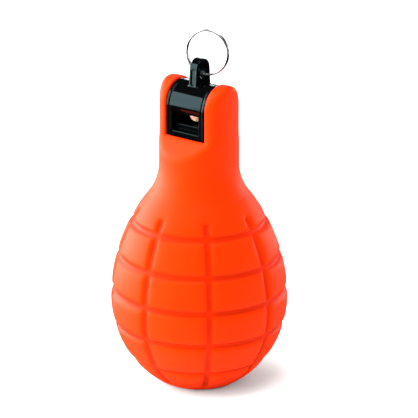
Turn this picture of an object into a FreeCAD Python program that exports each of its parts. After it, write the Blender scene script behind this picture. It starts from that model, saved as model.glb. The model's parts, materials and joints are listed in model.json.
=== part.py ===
"""Hand-squeeze whistle: a soft ribbed bulb whose forked neck holds a pea whistle on a split ring.

Frame: millimetres, +Z up, origin at the centre of the flat foot of the bulb. The mouth of the
whistle faces -Y, and the two ears of the neck stand at -X and +X.
"""
import FreeCAD, Part
import math
import os

V = FreeCAD.Vector
X_AXIS = V(1, 0, 0)
Z_AXIS = V(0, 0, 1)
BIG = 200.0
CUT_TOLERANCE = 0.001

# ---- bulb: outer profile of tangent arcs ----
BULB_R = 32.5            # largest outer radius
BULB_Z = 32.0            # height of the largest radius
LOWER_ARC_R = 37.2       # side of the bulb below that height
UPPER_ARC_R = 63.9       # shoulder of the bulb above it
FOOT_CORNER_R = 4.0      # round between the side and the flat foot
NECK_FILLET_R = 19.7     # hollow between the shoulder and the neck
NECK_R = 14.6
WALL = 3.2               # rubber wall of the bulb
CAVITY_TOP_Z = 75.0      # above it the neck is solid around the plug

# ---- moulded grooves of the bulb ----
GROOVE_WIDTH = 2.4
GROOVE_DEPTH = 0.8
RING_TOP_Z = 62.0
RING_PITCH = 13.0
RING_COUNT = 5
MERIDIAN_COUNT = 8
MERIDIAN_TOP_Z = 66.5
MERIDIAN_END_Z = 3.5

# ---- fork of the neck ----
LEDGE_Z = 94.3           # floor of the slot between the ears
SLOT_HALF = 9.0
EAR_HALF_DEPTH = 8.6     # also the radius of the ears' round tops
EAR_TOP_Z = 114.4
EAR_EDGE_R = 2.4

# ---- whistle ----
FIT_GAP = 0.05           # plug in the rubber bore
HEAD_GAP = 0.15          # head between the ears
HEAD_R = 8.1
CHAMBER_R = 6.8
BARREL_Z = 105.6         # axis of the sound chamber
CAP_THICK = 1.6
CAP_SPIGOT = 1.2
CAP_FIT = 0.05
CHANNEL_HALF = 6.0       # half width of windway and mouth
BLOCK_FACE_Y = -6.2      # back of the windway
WINDWAY_DEPTH = 1.1
COVER_THICK = 0.8
COVER_TOP_Z = 96.5
COVER_FOOT_Z = 90.0
MOUTH_TOP_Z = 102.9
LABIUM_EDGE_Y = -6.6
LABIUM_ROOT_Z = 105.4
PLUG_FOOT_Z = 76.0
PLUG_HALF = 8.2          # half width; its half depth is the head's
PLUG_CORNER_R = 2.5
PLUG_WALL = 1.5
PLUG_ROOF_Z = 88.0       # top of the hollow under the block
RIB_DEPTH = 1.0
RIB_HEIGHT = 1.6
RIB_Z = (79.0, 85.0)

# ---- lanyard lug on the whistle ----
LUG_THICK = 3.8
LUG_HALF_DEPTH = 3.7
LUG_Y = 0.4
LUG_TOP_Z = 122.7
LUG_ROOT_Z = 112.0
LUG_SPREAD = 0.5         # how much further each face stands out at the root
LUG_HOLE_R = 1.9
LUG_HOLE_Z = 117.3
LUG_RECESS_DEPTH = 0.9
LUG_RECESS_WIDTH = 1.8
LUG_RECESS_Z = (113.9, 118.3)

# ---- pea ----
PEA_R = 3.0
PEA_X = 0.9
PEA_Y = -1.8             # it has rolled a little towards the mouth
PEA_CLEARANCE = 0.2

# ---- split ring ----
RING_R = 8.05            # centre line of the wire
WIRE_R = 0.4
COIL_PITCH = 0.86        # one turn beside the other
COIL_TURNS = 1.97
COIL_START = 200.0       # degrees, where the wire begins round the ring
RING_YAW = 14.0          # degrees, about the vertical
RING_LEAN = 7.0          # degrees, backwards
RING_ROLL = 19.0         # degrees, in its own plane

SECTION_R = (GROOVE_WIDTH ** 2 / 4 + GROOVE_DEPTH ** 2) / (2 * GROOVE_DEPTH)
LIFT = SECTION_R - GROOVE_DEPTH
HEAD_HALF = SLOT_HALF - HEAD_GAP
BARREL_HALF = HEAD_HALF - CAP_THICK
CHAMBER_FLOOR_Z = BARREL_Z - CHAMBER_R
COVER_BACK_Y = BLOCK_FACE_Y - WINDWAY_DEPTH
COVER_FRONT_Y = COVER_BACK_Y - COVER_THICK


def arc(centre, radius, start, end):
    """Arc in the XZ plane; angles in radians from +X towards +Z."""
    def at(angle):
        return V(centre[0] + radius * math.cos(angle), 0, centre[1] + radius * math.sin(angle))
    return Part.Arc(at(start), at((start + end) / 2), at(end)).toShape()


def line(x0, z0, x1, z1):
    return Part.LineSegment(V(x0, 0, z0), V(x1, 0, z1)).toShape()


def turned(edges):
    """Solid of revolution about Z from a closed outline in the XZ plane."""
    outline = Part.Wire(Part.__sortEdges__(edges))
    return Part.Face(outline).revolve(V(0, 0, 0), Z_AXIS, 360)


def box(x0, x1, y0, y1, z0, z1):
    return Part.makeBox(x1 - x0, y1 - y0, z1 - z0, V(x0, y0, z0))


def extruded_yz(edges, x0, x1):
    """Prism along X from a closed outline whose points lie in the YZ plane."""
    face = Part.Face(Part.Wire(edges))
    face.translate(V(x0, 0, 0))
    return face.extrude(V(x1 - x0, 0, 0))


def polygon_yz(points):
    loop = points + points[:1]
    return Part.makePolygon([V(0, y, z) for y, z in loop]).Edges


def arch_yz(half_depth, top_z, foot_z, middle_y=0.0, spread=0.0):
    """Outline of an upright with a half-round top, standing on foot_z."""
    centre_z = top_z - half_depth
    left = middle_y - half_depth
    right = middle_y + half_depth
    crown = Part.Arc(V(0, left, centre_z), V(0, middle_y, top_z), V(0, right, centre_z))
    back = Part.LineSegment(V(0, right, centre_z), V(0, right + spread, foot_z))
    foot = Part.LineSegment(V(0, right + spread, foot_z), V(0, left - spread, foot_z))
    front = Part.LineSegment(V(0, left - spread, foot_z), V(0, left, centre_z))
    return [crown.toShape(), back.toShape(), foot.toShape(), front.toShape()]


def along_x(radius, x0, x1, y, z):
    return Part.makeCylinder(radius, x1 - x0, V(x0, y, z), X_AXIS)


def grooved_arc(centre, radius, start, end, heights):
    """Arc as above, with a round groove cut into it at each of the heights it passes."""
    spread = math.acos((radius ** 2 + (radius + LIFT) ** 2 - SECTION_R ** 2)
                       / (2 * radius * (radius + LIFT)))
    edges = []
    for height in sorted(heights):
        angle = math.asin((height - centre[1]) / radius)
        if not start + spread < angle < end - spread:
            continue
        edges.append(arc(centre, radius, start, angle - spread))
        rim = [V(centre[0] + r * math.cos(a), 0, centre[1] + r * math.sin(a)) for r, a in (
            (radius, angle - spread), (radius - GROOVE_DEPTH, angle), (radius, angle + spread))]
        edges.append(Part.Arc(*rim).toShape())
        start = angle + spread
    return edges + [arc(centre, radius, start, end)]


def profile(inset, top_z, ring_heights=()):
    """Closed half outline of the bulb and neck, moved inwards by inset."""
    low_c = (BULB_R - LOWER_ARC_R, BULB_Z)
    high_c = (BULB_R - UPPER_ARC_R, BULB_Z)
    reach = LOWER_ARC_R - FOOT_CORNER_R
    corner_x = low_c[0] + math.sqrt(reach ** 2 - (BULB_Z - FOOT_CORNER_R) ** 2)
    corner_c = (corner_x, FOOT_CORNER_R)
    side_angle = math.atan2(corner_c[1] - low_c[1], corner_c[0] - low_c[0])
    fillet_x = NECK_R + NECK_FILLET_R
    span = UPPER_ARC_R + NECK_FILLET_R
    rise = math.sqrt(span ** 2 - (fillet_x - high_c[0]) ** 2)
    shoulder_angle = math.asin(rise / span)
    fillet_c = (fillet_x, BULB_Z + rise)
    neck = NECK_R - inset
    side = grooved_arc(low_c, LOWER_ARC_R - inset, side_angle, 0, ring_heights)
    shoulder = grooved_arc(high_c, UPPER_ARC_R - inset, 0, shoulder_angle, ring_heights)
    return side + shoulder + [
        line(0, inset, corner_x, inset),
        arc(corner_c, FOOT_CORNER_R - inset, -math.pi / 2, side_angle),
        arc(fillet_c, NECK_FILLET_R + inset, math.pi + shoulder_angle, math.pi),
        line(neck, fillet_c[1], neck, top_z),
        line(neck, top_z, 0, top_z),
        line(0, top_z, 0, inset),
    ]


def meridian_grooves():
    """Eight cutters of round section that run down the bulb."""
    top_angle = math.asin((MERIDIAN_TOP_Z - BULB_Z) / UPPER_ARC_R)
    end_angle = math.asin((MERIDIAN_END_Z - BULB_Z) / LOWER_ARC_R)
    path = Part.Wire([
        arc((BULB_R - UPPER_ARC_R, BULB_Z), UPPER_ARC_R + LIFT, top_angle, 0),
        arc((BULB_R - LOWER_ARC_R, BULB_Z), LOWER_ARC_R + LIFT, 0, end_angle),
    ])
    start = path.Edges[0].firstVertex(True).Point
    tangent = V(math.sin(top_angle), 0, -math.cos(top_angle))
    groove = path.makePipeShell([Part.Wire(Part.makeCircle(SECTION_R, start, tangent))], True, True)
    cutters = []
    for index in range(MERIDIAN_COUNT):
        one = groove.copy()
        one.rotate(V(0, 0, 0), Z_AXIS, 90 + 360.0 * index / MERIDIAN_COUNT)
        cutters.append(one)
    return cutters


def fork_envelope():
    """Everything the outer form may fill: flats, ramps and round tops across the neck."""
    depth = EAR_HALF_DEPTH
    reach = LEDGE_Z - BULB_R
    crown = arch_yz(depth, EAR_TOP_Z, LEDGE_Z)[0]
    sides = polygon_yz([
        (depth, EAR_TOP_Z - depth), (depth, LEDGE_Z), (depth + reach, LEDGE_Z - reach),
        (depth + reach, -1), (-depth - reach, -1), (-depth - reach, LEDGE_Z - reach),
        (-depth, LEDGE_Z), (-depth, EAR_TOP_Z - depth)])[:-1]
    return extruded_yz(Part.__sortEdges__([crown] + sides), -BIG / 2, BIG / 2)


def outer_edges_of_ears(shape):
    """Edges where the flats and round tops of the ears meet the neck cylinder."""
    found = []
    for edge in shape.Edges:
        limits = edge.BoundBox
        outside = min(abs(limits.XMin), abs(limits.XMax)) > SLOT_HALF + 0.5
        if outside and limits.ZMin > LEDGE_Z - 0.01 and limits.ZLength > 1:
            found.append(edge)
    return found


def plug_block(grow, z0, z1):
    """Upright block of the plug's section, with round corners, grown on every side."""
    half_x = PLUG_HALF + grow
    half_y = HEAD_R + grow
    block = box(-half_x, half_x, -half_y, half_y, z0, z1)
    corners = [edge for edge in block.Edges if edge.BoundBox.ZLength > 0.9 * (z1 - z0)]
    return block.makeFillet(PLUG_CORNER_R + grow, corners)


def bulb_shell():
    rings = [RING_TOP_Z - RING_PITCH * index for index in range(RING_COUNT)]
    outer = turned(profile(0.0, EAR_TOP_Z + 1, rings)).common(fork_envelope())
    slot = box(-SLOT_HALF, SLOT_HALF, -BIG / 2, BIG / 2, LEDGE_Z, BIG)
    body = outer.cut(slot)
    body = body.makeFillet(EAR_EDGE_R, outer_edges_of_ears(body))
    for groove in meridian_grooves():
        body = body.cut(groove, CUT_TOLERANCE)
    below_neck = Part.makeCylinder(BIG, CAVITY_TOP_Z)
    body = body.cut(turned(profile(WALL, EAR_TOP_Z)).common(below_neck))
    body = body.cut(plug_block(FIT_GAP, CAVITY_TOP_Z - 1, LEDGE_Z + 1))
    for z in RIB_Z:
        body = body.cut(plug_block(RIB_DEPTH + FIT_GAP, z, z + RIB_HEIGHT))
    return body


def lug():
    blade = extruded_yz(arch_yz(LUG_HALF_DEPTH, LUG_TOP_Z, LUG_ROOT_Z, LUG_Y, LUG_SPREAD),
                        -LUG_THICK / 2, LUG_THICK / 2)
    blade = blade.cut(along_x(LUG_HOLE_R, -BIG, BIG, LUG_Y, LUG_HOLE_Z))
    low, high = LUG_RECESS_Z
    half = LUG_RECESS_WIDTH / 2
    for side in (-1, 1):
        face_y = LUG_Y + side * LUG_HALF_DEPTH
        floor_y = face_y - side * LUG_RECESS_DEPTH
        near, far = sorted((floor_y, floor_y + side * 3))
        pocket = box(-half, half, near, far, low, high)
        pocket = pocket.fuse(Part.makeCylinder(half, 3, V(0, near, high), V(0, 1, 0)))
        blade = blade.cut(pocket)
    return blade


def whistle_body():
    head = extruded_yz(arch_yz(HEAD_R, BARREL_Z + HEAD_R, LEDGE_Z), -BARREL_HALF, BARREL_HALF)
    plug = plug_block(0, PLUG_FOOT_Z, LEDGE_Z)
    for z in RIB_Z:
        plug = plug.fuse(plug_block(RIB_DEPTH, z, z + RIB_HEIGHT))
    body = head.fuse([plug, lug()])
    inner_x = PLUG_HALF - PLUG_WALL
    hollow = box(-inner_x, inner_x, COVER_BACK_Y, HEAD_R - PLUG_WALL, PLUG_FOOT_Z - 1, PLUG_ROOF_Z)
    windway = box(-CHANNEL_HALF, CHANNEL_HALF, COVER_BACK_Y, BLOCK_FACE_Y, PLUG_ROOF_Z - 1,
                  CHAMBER_FLOOR_Z)
    chamber = along_x(CHAMBER_R, -BIG, BIG, 0, BARREL_Z)
    seat = box(-CHANNEL_HALF, CHANNEL_HALF, COVER_FRONT_Y - 1, COVER_BACK_Y, COVER_FOOT_Z,
               MOUTH_TOP_Z)
    mouth = box(-CHANNEL_HALF, CHANNEL_HALF, -HEAD_R - 1, -1, CHAMBER_FLOOR_Z, MOUTH_TOP_Z)
    ramp = extruded_yz(polygon_yz([
        (LABIUM_EDGE_Y, MOUTH_TOP_Z - 0.1), (LABIUM_EDGE_Y, MOUTH_TOP_Z), (-HEAD_R, LABIUM_ROOT_Z),
        (-HEAD_R - 1, LABIUM_ROOT_Z), (-HEAD_R - 1, MOUTH_TOP_Z - 0.1)]), -CHANNEL_HALF, CHANNEL_HALF)
    return body.cut([hollow, windway, chamber, seat, mouth, ramp])


def windway_cover():
    return box(-CHANNEL_HALF, CHANNEL_HALF, COVER_FRONT_Y, COVER_BACK_Y, COVER_FOOT_Z, COVER_TOP_Z)


def end_cap(side):
    """Arched cap that closes one end of the chamber, with a spigot into it."""
    plate = extruded_yz(arch_yz(HEAD_R, BARREL_Z + HEAD_R, LEDGE_Z), BARREL_HALF, HEAD_HALF)
    spigot = along_x(CHAMBER_R - CAP_FIT, BARREL_HALF - CAP_SPIGOT, BARREL_HALF, 0, BARREL_Z)
    cap = plate.fuse(spigot).removeSplitter()
    if side < 0:
        cap = cap.mirror(V(0, 0, 0), X_AXIS)
    return cap


def pea():
    orbit = CHAMBER_R - PEA_R - PEA_CLEARANCE
    drop = math.sqrt(orbit ** 2 - PEA_Y ** 2)
    return Part.makeSphere(PEA_R, V(PEA_X, PEA_Y, BARREL_Z - drop))


def split_ring():
    """Two close turns of wire; the lowest point of the middle turn lies in the lug's hole."""
    height = COIL_PITCH * COIL_TURNS
    path = Part.makeHelix(COIL_PITCH, height, RING_R)
    slope = COIL_PITCH / (2 * math.pi * RING_R)
    wire_end = Part.Wire(Part.makeCircle(WIRE_R, V(RING_R, 0, 0), V(0, 1, slope)))
    coil = Part.Wire(path).makePipeShell([wire_end], True, True)
    coil.translate(V(0, 0, -height / 2))
    coil.rotate(V(0, 0, 0), X_AXIS, 90)
    coil.rotate(V(0, 0, 0), V(0, 1, 0), COIL_START)
    coil.translate(V(0, 0, RING_R))
    coil.rotate(V(0, 0, 0), V(0, 1, 0), RING_ROLL)
    coil.rotate(V(0, 0, 0), X_AXIS, -RING_LEAN)
    coil.rotate(V(0, 0, 0), Z_AXIS, RING_YAW)
    coil.translate(V(0, LUG_Y, LUG_HOLE_Z))
    return coil


def main():
    parts = {
        "bulb_shell": bulb_shell(),
        "whistle_body": whistle_body(),
        "windway_cover": windway_cover(),
        "left_end_cap": end_cap(-1),
        "right_end_cap": end_cap(1),
        "pea": pea(),
        "split_ring": split_ring(),
    }
    os.makedirs("parts", exist_ok=True)
    for name, shape in parts.items():
        solid = shape if shape.ShapeType == "Solid" else shape.Solids[0]
        print(name, shape.ShapeType, len(shape.Solids), solid.isValid(), round(solid.Volume, 1))
        solid.exportStep("parts/" + name + ".step")


main()
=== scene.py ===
"""Hand-squeeze whistle: a ribbed soft bulb with a forked neck around a glossy pea whistle.

The file is laid out as an add-on. Each operator builds one piece around the fixed frame, and
main() calls them in order. Lengths are metres, +Z is up, and the mouth of the whistle faces -Y.
"""

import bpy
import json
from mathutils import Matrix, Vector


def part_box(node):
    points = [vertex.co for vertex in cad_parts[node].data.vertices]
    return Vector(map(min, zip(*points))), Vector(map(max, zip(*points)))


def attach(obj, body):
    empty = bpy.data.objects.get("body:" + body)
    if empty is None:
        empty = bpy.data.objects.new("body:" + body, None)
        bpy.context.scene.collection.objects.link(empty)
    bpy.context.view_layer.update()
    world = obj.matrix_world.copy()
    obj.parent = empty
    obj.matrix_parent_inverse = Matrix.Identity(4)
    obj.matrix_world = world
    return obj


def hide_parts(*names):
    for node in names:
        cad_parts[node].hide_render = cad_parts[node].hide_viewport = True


bl_info = {
    "name": "Hand-squeeze whistle",
    "version": (1, 0, 0),
    "blender": (4, 5, 0),
    "location": "View3D > Sidebar > Whistle",
    "description": "Builds a soft squeeze bulb, its pea whistle, the split ring and a studio",
    "category": "Object",
}

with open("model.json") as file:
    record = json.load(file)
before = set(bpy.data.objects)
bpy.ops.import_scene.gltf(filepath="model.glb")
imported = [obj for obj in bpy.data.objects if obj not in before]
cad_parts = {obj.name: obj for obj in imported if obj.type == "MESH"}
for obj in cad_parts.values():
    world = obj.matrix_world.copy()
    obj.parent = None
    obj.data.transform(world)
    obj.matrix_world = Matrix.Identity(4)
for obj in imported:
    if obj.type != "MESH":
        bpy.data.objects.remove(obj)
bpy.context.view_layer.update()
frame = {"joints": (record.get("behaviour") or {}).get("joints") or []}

import json
import math

import bmesh
import bpy
import numpy as np
from bpy.props import FloatProperty, FloatVectorProperty, IntProperty, PointerProperty
from mathutils import Matrix, Vector, noise

MM = 0.001

# ---- places and sizes that come from the frame ----
BULB_LOW, BULB_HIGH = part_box("bulb_shell")
CAP_LOW, CAP_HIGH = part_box("right_end_cap")
MOULDING_LOW, MOULDING_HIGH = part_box("whistle_body")
COVER_LOW, COVER_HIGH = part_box("windway_cover")
PEA_LOW, PEA_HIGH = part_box("pea")
JOINTS = {joint["name"]: joint for joint in frame["joints"]}
RING_PIVOT = Vector(JOINTS["ring_swing"]["pos_m"])

LEDGE_Z = CAP_LOW.z
HEAD_R = CAP_HIGH.y
BARREL_Z = CAP_HIGH.z - HEAD_R
HEAD_HALF = CAP_HIGH.x
EAR_TOP_Z = BULB_HIGH.z
CHANNEL_HALF = COVER_HIGH.x


def length(name, description, millimetres):
    """Length property, given in millimetres and kept in metres."""
    return FloatProperty(name=name, description=description, default=millimetres * MM,
                         unit="LENGTH")


def angle(name, description, degrees):
    """Angle property, given in degrees and kept in radians."""
    return FloatProperty(name=name, description=description, default=math.radians(degrees),
                         subtype="ANGLE")


def colour(name, description, rgb):
    """Colour property."""
    return FloatVectorProperty(name=name, description=description, default=rgb, subtype="COLOR")


class BulbSizes(bpy.types.PropertyGroup):
    """Sizes of the soft bulb and its fork."""

    lower_arc: length("Lower arc", "Radius of the side below the middle", 37.2)
    upper_arc: length("Upper arc", "Radius of the shoulder", 63.9)
    middle_z: length("Middle height", "Height of the largest radius", 32.0)
    foot_corner: length("Foot corner", "Round between side and foot", 4.0)
    neck_r: length("Neck radius", "Outer radius of the neck", 14.6)
    neck_fillet: length("Neck fillet", "Hollow between shoulder and neck", 19.7)
    wall: length("Wall", "Rubber wall of the bulb", 3.2)
    cavity_top: length("Cavity top", "Height where the air space ends", 75.0)
    slot_half: length("Slot half width", "Half the gap between the ears", 9.0)
    ear_depth: length("Ear half depth", "Half depth of an ear", 8.6)
    ear_round: length("Ear edge", "Round on the outer edges of the ears", 1.9)
    ramp_round: length("Ramp edge", "Round where ramp and neck meet", 1.2)
    slot_round: length("Slot edge", "Round on the edges of the slot", 0.5)
    groove_half: length("Groove half width", "Centre to lip of a groove", 1.95)
    groove_floor: length("Groove floor", "Half width of its flat floor", 0.5)
    groove_depth: length("Groove depth", "Depth of the moulded grooves", 0.95)
    pillow: length("Pillow", "How far the pads fall towards their edges", 0.22)
    pillow_reach: length("Pillow reach", "Width of that fall", 4.5)
    ring_top: length("Top ring", "Height of the top ring groove", 62.0)
    ring_pitch: length("Ring pitch", "Height from ring to ring", 13.0)
    ring_count: IntProperty(name="Rings", description="Number of ring grooves", default=5)
    meridians: IntProperty(name="Meridians", description="Number of upright grooves", default=8)
    meridian_top: length("Meridian top", "Upper end of the grooves", 66.0)
    meridian_end: length("Meridian end", "Lower end of the grooves", 3.0)


class WhistleSizes(bpy.types.PropertyGroup):
    """Sizes of the moulded whistle, its caps and its lug."""

    chamber_r: length("Chamber radius", "Inner radius of the chamber", 6.8)
    cap_thick: length("Cap thickness", "Thickness of an end cap", 1.6)
    edge: length("Edge", "Round on the moulded edges", 0.3)
    cap_edge: length("Cap edge", "Round on the rim of the caps", 0.45)
    mouth_top: length("Mouth top", "Height of the labium edge", 102.9)
    labium_y: length("Labium edge", "How far forward the edge stands", -6.6)
    labium_root: length("Labium root", "Height where its ramp starts", 105.4)
    block_y: length("Block face", "Back of the windway", -6.2)
    plug_half: length("Plug half width", "Half width of the plug", 8.2)
    plug_wall: length("Plug wall", "Wall of the hollow in the plug", 1.5)
    plug_roof: length("Plug roof", "Top of the hollow in the plug", 88.0)
    lug_half: length("Lug half thickness", "Half thickness of the lug", 1.9)
    lug_depth: length("Lug half depth", "Half depth of the lug", 3.7)
    lug_hole: length("Lug hole", "Radius of the hole in the lug", 1.9)
    recess_half: length("Recess half width", "Half width of the recess", 0.9)
    recess_depth: length("Recess depth", "Depth of the lug's recess", 0.45)


class RingSizes(bpy.types.PropertyGroup):
    """Sizes and resting attitude of the split ring."""

    radius: length("Radius", "Centre line of the wire", 8.05)
    wire: length("Wire radius", "Radius of the wire", 0.4)
    pitch: length("Pitch", "From one turn to the next", 0.86)
    turns: FloatProperty(name="Turns", description="Length of the wire in turns", default=1.97)
    yaw: angle("Yaw", "Turn about the upright", 14)
    lean: angle("Lean", "Lean backwards", 7)
    roll: angle("Roll", "Turn in the ring's own plane", 19)
    start: angle("Start", "Where the wire begins round the ring", 200)


class FinishColours(bpy.types.PropertyGroup):
    """Colours of the finishes."""

    rubber: colour("Rubber", "Body of the soft rubber", (0.90, 0.0272, 0.0002))
    # Painted shade: a darker rubber that stands in for the shade inside the grooves.
    rubber_groove_shade: colour("Painted groove shade", "Darker rubber painted into the grooves as shade", (0.62, 0.0165, 0.0001))
    plastic: colour("Plastic", "Glossy black plastic", (0.0008, 0.0009, 0.0010))
    cork_light: colour("Cork light", "Body of the cork", (0.55, 0.30, 0.20))
    cork_dark: colour("Cork dark", "Pits of the cork", (0.16, 0.07, 0.035))
    steel: colour("Steel", "Polished wire", (0.62, 0.62, 0.63))
    floor: colour("Floor", "Studio floor", (0.96, 0.96, 0.96))


class StudioSizes(bpy.types.PropertyGroup):
    """Camera and light of the studio."""

    azimuth: angle("Azimuth", "Camera direction from the front", 38)
    elevation: angle("Elevation", "Camera height angle", 19)
    distance: FloatProperty(name="Distance", description="Camera to object",
                            default=1.25, unit="LENGTH")
    lens: FloatProperty(name="Lens", description="Focal length in millimetres", default=294.2)
    aim_z: length("Aim height", "Height of the point aimed at", 55.0)
    aim_right: length("Aim right", "Aim moved right in the view", 3.6)
    aim_up: length("Aim up", "Aim moved up in the view", 9.8)


# ---- node helpers ----

def feed(tree, node, inputs):
    """Links or sets a node's inputs by name or number; returns the node."""
    pairs = inputs.items() if isinstance(inputs, dict) else enumerate(inputs)
    for key, value in pairs:
        if isinstance(value, bpy.types.NodeSocket):
            tree.links.new(value, node.inputs[key])
        else:
            node.inputs[key].default_value = value
    return node


def put(tree, kind, inputs=(), **settings):
    """Adds a node, sets its properties and feeds its inputs."""
    node = tree.nodes.new(kind)
    for name, value in settings.items():
        setattr(node, name, value)
    return feed(tree, node, inputs)


def calc(tree, operation, *inputs, clamp=False):
    """Math node; returns its output socket."""
    return put(tree, "ShaderNodeMath", inputs, operation=operation, use_clamp=clamp).outputs[0]


def smooth_range(tree, value, low, high, out_low=0.0, out_high=1.0):
    """Smoothstep from low to high; returns the result socket."""
    inputs = {"Value": value, "From Min": low, "From Max": high, "To Min": out_low,
              "To Max": out_high}
    node = put(tree, "ShaderNodeMapRange", inputs, interpolation_type="SMOOTHSTEP")
    return node.outputs["Result"]


def colour_mix(tree, factor, first, second):
    """Blend of two colours, each a socket or an RGB value; returns the result socket."""
    a, b = (c if isinstance(c, bpy.types.NodeSocket) else (*c, 1) for c in (first, second))
    node = put(tree, "ShaderNodeMix", {"Factor": factor, "A": a, "B": b}, data_type="RGBA")
    return node.outputs["Result"]


def noise_value(tree, where, scale, detail=2.0, roughness=0.5):
    """Noise texture; returns its value socket."""
    inputs = {"Vector": where, "Scale": scale, "Detail": detail, "Roughness": roughness}
    return put(tree, "ShaderNodeTexNoise", inputs).outputs[0]


def bump_normal(tree, height, strength, distance):
    """Bump from a height; returns its normal socket."""
    inputs = {"Strength": strength, "Distance": distance, "Height": height}
    return put(tree, "ShaderNodeBump", inputs).outputs[0]


def length_of(tree, a, b):
    """Length of the hypotenuse over two sides; returns its output socket."""
    squares = calc(tree, "ADD", calc(tree, "MULTIPLY", a, a), calc(tree, "MULTIPLY", b, b))
    return calc(tree, "SQRT", squares)


def float_input(tree, name, value):
    """Adds a named float input to a node group."""
    socket = tree.interface.new_socket(name, in_out="INPUT", socket_type="NodeSocketFloat")
    socket.default_value = value


def geometry_tree(name, inputs):
    """Empty geometry node tree with a geometry in and out and named float inputs."""
    tree = bpy.data.node_groups.new(name, "GeometryNodeTree")
    tree.interface.new_socket("Geometry", in_out="INPUT", socket_type="NodeSocketGeometry")
    tree.interface.new_socket("Geometry", in_out="OUTPUT", socket_type="NodeSocketGeometry")
    for label, value in inputs.items():
        float_input(tree, label, value)
    return tree, tree.nodes.new("NodeGroupInput"), tree.nodes.new("NodeGroupOutput")


def finish_tree(tree, geometry, exit_node, material):
    """Ends a tree in Realize Instances and Set Material."""
    real = put(tree, "GeometryNodeRealizeInstances", [geometry])
    dressed = put(tree, "GeometryNodeSetMaterial", {"Geometry": real.outputs[0],
                                                    "Material": material})
    tree.links.new(dressed.outputs[0], exit_node.inputs[0])


def baked(obj, tree, values):
    """Runs a geometry tree on an object and keeps the result as its plain mesh."""
    modifier = obj.modifiers.new(tree.name, "NODES")
    modifier.node_group = tree
    ids = {item.name: item.identifier for item in tree.interface.items_tree
           if item.in_out == "INPUT"}
    for label, value in values.items():
        modifier[ids[label]] = value
    depsgraph = bpy.context.evaluated_depsgraph_get()
    mesh = bpy.data.meshes.new_from_object(obj.evaluated_get(depsgraph), depsgraph=depsgraph)
    obj.modifiers.remove(modifier)
    obj.data = mesh


# ---- mesh helpers ----

def add_object(name, mesh):
    """Puts a mesh into the scene as an object at the origin."""
    obj = bpy.data.objects.new(name, mesh)
    bpy.context.scene.collection.objects.link(obj)
    return obj


def register_piece(obj, body, node, material):
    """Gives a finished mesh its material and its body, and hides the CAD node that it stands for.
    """
    obj.data.materials.clear()
    obj.data.materials.append(material)
    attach(obj, body)
    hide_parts(node)


def round_and(a, b, radius):
    """Intersection of two fields with a round of that radius along the edge."""
    outside = np.hypot(np.maximum(a + radius, 0), np.maximum(b + radius, 0))
    return np.minimum(np.maximum(a, b), -radius) + outside


def round_or(a, b, radius):
    """Union of two fields with a hollow of that radius where they meet."""
    return -round_and(-a, -b, radius)


def box_field(x, y, z, low, high, corner=0.0):
    """Distance to a box with round edges."""
    middle = [(l + h) / 2 for l, h in zip(low, high)]
    half = [(h - l) / 2 - corner for l, h in zip(low, high)]
    q = [np.abs(v - m) - h for v, m, h in zip((x, y, z), middle, half)]
    outside = np.sqrt(sum(np.maximum(v, 0) ** 2 for v in q))
    return outside + np.minimum(np.maximum(np.maximum(q[0], q[1]), q[2]), 0) - corner


def arch_field(y, z, half_depth, top_z, foot_z):
    """Distance in the YZ plane to an upright with a half-round top."""
    centre_z = top_z - half_depth
    crown = np.hypot(y, z - centre_z) - half_depth
    return np.where(z > centre_z, crown, np.maximum(np.abs(y) - half_depth, foot_z - z))


def slope(field, points, reach):
    """Gradient of a field by central differences."""
    columns = []
    for axis in range(3):
        step = np.zeros(3)
        step[axis] = reach
        ahead = field(*(points + step).T)
        behind = field(*(points - step).T)
        columns.append((ahead - behind) / (2 * reach))
    return np.stack(columns, axis=1)


def settle(field, points, reach, rounds=6):
    """Moves points along the field's slope until they lie on its surface."""
    for _ in range(rounds):
        gradient = slope(field, points, reach)
        size = np.maximum((gradient ** 2).sum(axis=1), 0.05)
        points = points - gradient * (field(*points.T) / size)[:, None]
    return points


def carve(name, field, low, high, step):
    """Closed mesh of a field's zero surface: one vertex a cell, evened out and settled on it."""
    axes = [np.arange(l - 1.5 * step, h + 2.5 * step, step) for l, h in zip(low, high)]
    inside = field(*np.meshgrid(*axes, indexing="ij")) < 0
    corner_sum = sum(inside[i:i - 1 or None, j:j - 1 or None, k:k - 1 or None].astype(np.int8)
                     for i in (0, 1) for j in (0, 1) for k in (0, 1))
    cells = (corner_sum > 0) & (corner_sum < 8)
    index = np.full(cells.shape, -1)
    index[cells] = np.arange(cells.sum())
    start = np.array([a[0] for a in axes])
    points = start + (np.argwhere(cells) + 0.5) * step
    quads = []
    for axis in range(3):
        first = np.moveaxis(inside, axis, 0)
        grid = np.moveaxis(index, axis, 0)
        crossing = first[:-1, 1:-1, 1:-1] != first[1:, 1:-1, 1:-1]
        leaving = first[:-1, 1:-1, 1:-1][crossing]
        ring = np.stack([grid[:, :-1, :-1][crossing], grid[:, 1:, :-1][crossing],
                         grid[:, 1:, 1:][crossing], grid[:, :-1, 1:][crossing]], axis=1)
        turn = leaving if axis != 1 else ~leaving
        ring[~turn] = ring[~turn][:, ::-1]
        quads.append(ring)
    quads = np.concatenate(quads)
    points = settle(field, points, step / 5)
    for _ in range(3):
        total = np.zeros_like(points)
        count = np.zeros(len(points))
        for a, b in ((0, 1), (1, 2), (2, 3), (3, 0)):
            np.add.at(total, quads[:, a], points[quads[:, b]])
            np.add.at(total, quads[:, b], points[quads[:, a]])
            np.add.at(count, quads[:, a], 1)
            np.add.at(count, quads[:, b], 1)
        points = settle(field, 0.5 * points + 0.5 * total / count[:, None], step / 5, 3)
    mesh = bpy.data.meshes.new(name)
    mesh.from_pydata(points.tolist(), [], quads.tolist())
    mesh.shade_smooth()
    normals = slope(field, points, step / 5)
    normals /= np.maximum(np.linalg.norm(normals, axis=1, keepdims=True), 1e-9)
    mesh.normals_split_custom_set_from_vertices(normals.tolist())
    return mesh


# ---- materials ----

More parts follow.
